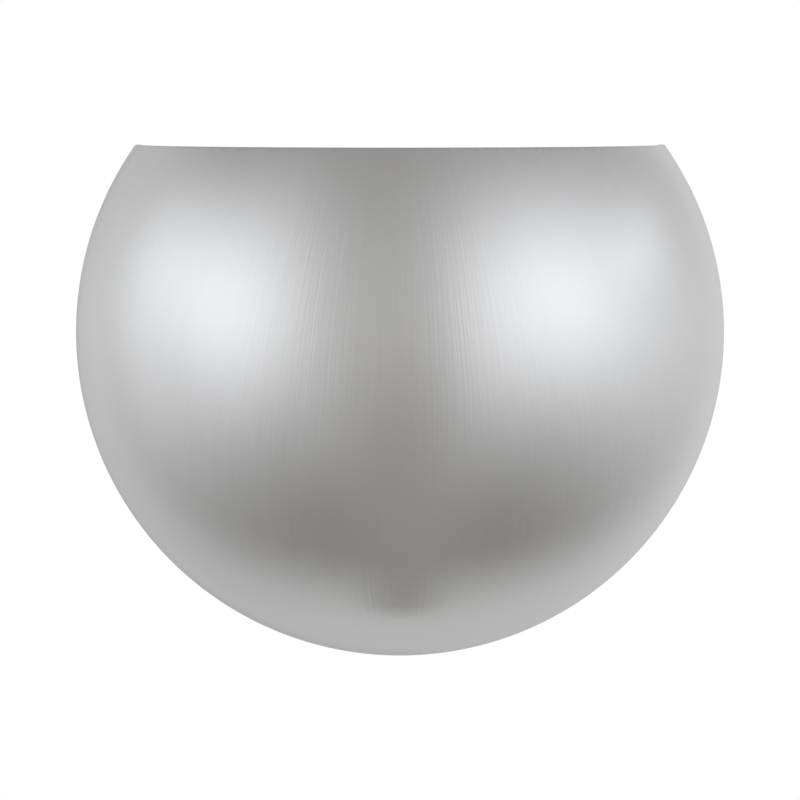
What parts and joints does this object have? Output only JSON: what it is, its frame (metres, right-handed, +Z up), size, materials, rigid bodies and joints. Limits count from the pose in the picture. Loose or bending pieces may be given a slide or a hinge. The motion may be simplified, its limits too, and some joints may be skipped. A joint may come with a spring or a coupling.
{
  "type": "wall light",
  "caption": "Half moon wall light: a half ball shade of brushed metal, open at the top, hangs on a wall pan with a standing lamp inside.",
  "frame": {"origin": "middle of the crossbar on the wall plane, which is also the centre of the shade's ball", "axes": "+Y into the wall, +Z up, +X to the right as seen from the room"},
  "size_m": [0.2413, 0.1207, 0.1903],
  "materials": {
    "brushed_nickel": "satin nickel plate, brushed from top to bottom",
    "white_enamel": "satin white powder coat",
    "zinc_plate": "bright zinc plate",
    "nickel_plate": "polished nickel plate",
    "sheet_brass": "pressed brass",
    "porcelain": "glazed porcelain",
    "black_nylon": "moulded nylon",
    "black_insulation": "silicone insulation",
    "white_insulation": "silicone insulation",
    "green_insulation": "silicone insulation",
    "connector_plastic": "clear grey moulded plastic",
    "tin_plate": "tinned copper",
    "green_dip": "green dyed zinc plate",
    "frosted_glass": "inside frosted glass",
    "clear_glass": "clear glass",
    "lamp_cap_metal": "rolled aluminium",
    "black_vitrite": "black glass",
    "solder": "dull solder",
    "tungsten": "drawn wire"
  },
  "bodies": {
    "fixture": {"wall_pan": "white_enamel", "clinch_nuts": "zinc_plate", "locating_pin": "zinc_plate", "crossbar": "zinc_plate", "mounting_studs": "zinc_plate", "stud_lock_nuts": "zinc_plate", "stud_washers": "zinc_plate", "cap_nuts": "nickel_plate", "ground_screw": "green_dip", "pan_ground_screw": "green_dip", "ring_terminals": "tin_plate", "ground_lead": "green_insulation", "socket_bracket": "zinc_plate", "bracket_rivets": "zinc_plate", "lampholder_body": "porcelain", "screw_shell": "sheet_brass", "centre_contact": "sheet_brass", "lampholder_screws": "zinc_plate", "snap_bushing": "black_nylon", "lead_black": "black_insulation", "lead_white": "white_insulation", "push_connectors": "connector_plastic"},
    "shade": {"shade": "brushed_nickel", "shade_tab_left": "white_enamel", "shade_tab_right": "white_enamel", "shade_tab_bottom": "white_enamel"},
    "left_screw": {"thumb_screw_left": "nickel_plate"},
    "right_screw": {"thumb_screw_right": "nickel_plate"},
    "lamp": {"bulb_glass": "frosted_glass", "bulb_cap": "lamp_cap_metal", "bulb_insulator": "black_vitrite", "bulb_contact": "solder", "bulb_stem": "clear_glass", "bulb_supports": "tungsten", "bulb_filament": "tungsten"}
  },
  "joints": [
    {"name": "shade_pull", "type": "slide", "parent": "fixture", "child": "shade", "axis": [0, -1, 0], "range_m": [0, 0.13]},
    {"name": "left_screw_turn", "type": "hinge", "parent": "shade", "child": "left_screw", "pos_m": [-0.086, -0.0155, 0.022], "axis": [0, -1, 0], "range_deg": [0, 1765]},
    {"name": "right_screw_turn", "type": "hinge", "parent": "shade", "child": "right_screw", "pos_m": [0.086, -0.0155, 0.022], "axis": [0, -1, 0], "range_deg": [0, 1765]},
    {"name": "bulb_lift", "type": "slide", "parent": "fixture", "child": "lamp", "axis": [0, 0, 1], "range_m": [0, 0.13]}
  ]
}
